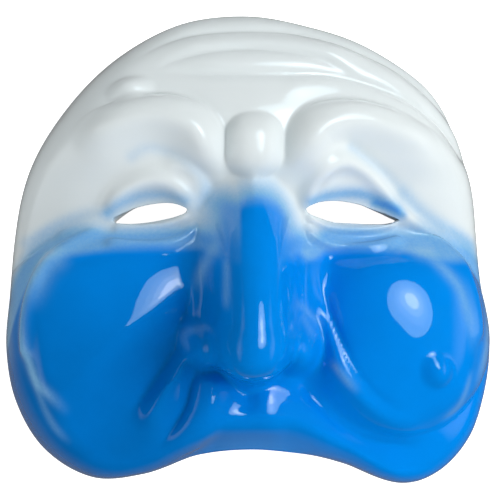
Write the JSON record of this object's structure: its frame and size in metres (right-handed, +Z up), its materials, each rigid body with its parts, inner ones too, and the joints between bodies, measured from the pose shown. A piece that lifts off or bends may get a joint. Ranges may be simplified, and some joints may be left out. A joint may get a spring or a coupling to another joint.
{
  "type": "commedia dell arte mask",
  "caption": "Glossy half mask with swollen cheeks, heavy brows and a long hooked nose, covering the face from forehead to upper lip.",
  "frame": {"origin": "on the table under the middle of the mask's plan, with the mask lying face up on its rim", "axes": "+X to the viewer's right across the face, +Y towards the top of the forehead, +Z up out of the face through the nose"},
  "size_m": [0.189, 0.1812, 0.0963],
  "materials": {
    "lacquered_shell": "pulp shell sealed with airbrushed white and blue paint under a high-gloss lacquer, plain matt inside"
  },
  "bodies": {
    "root": {"mask_shell": "lacquered_shell"}
  },
  "joints": []
}
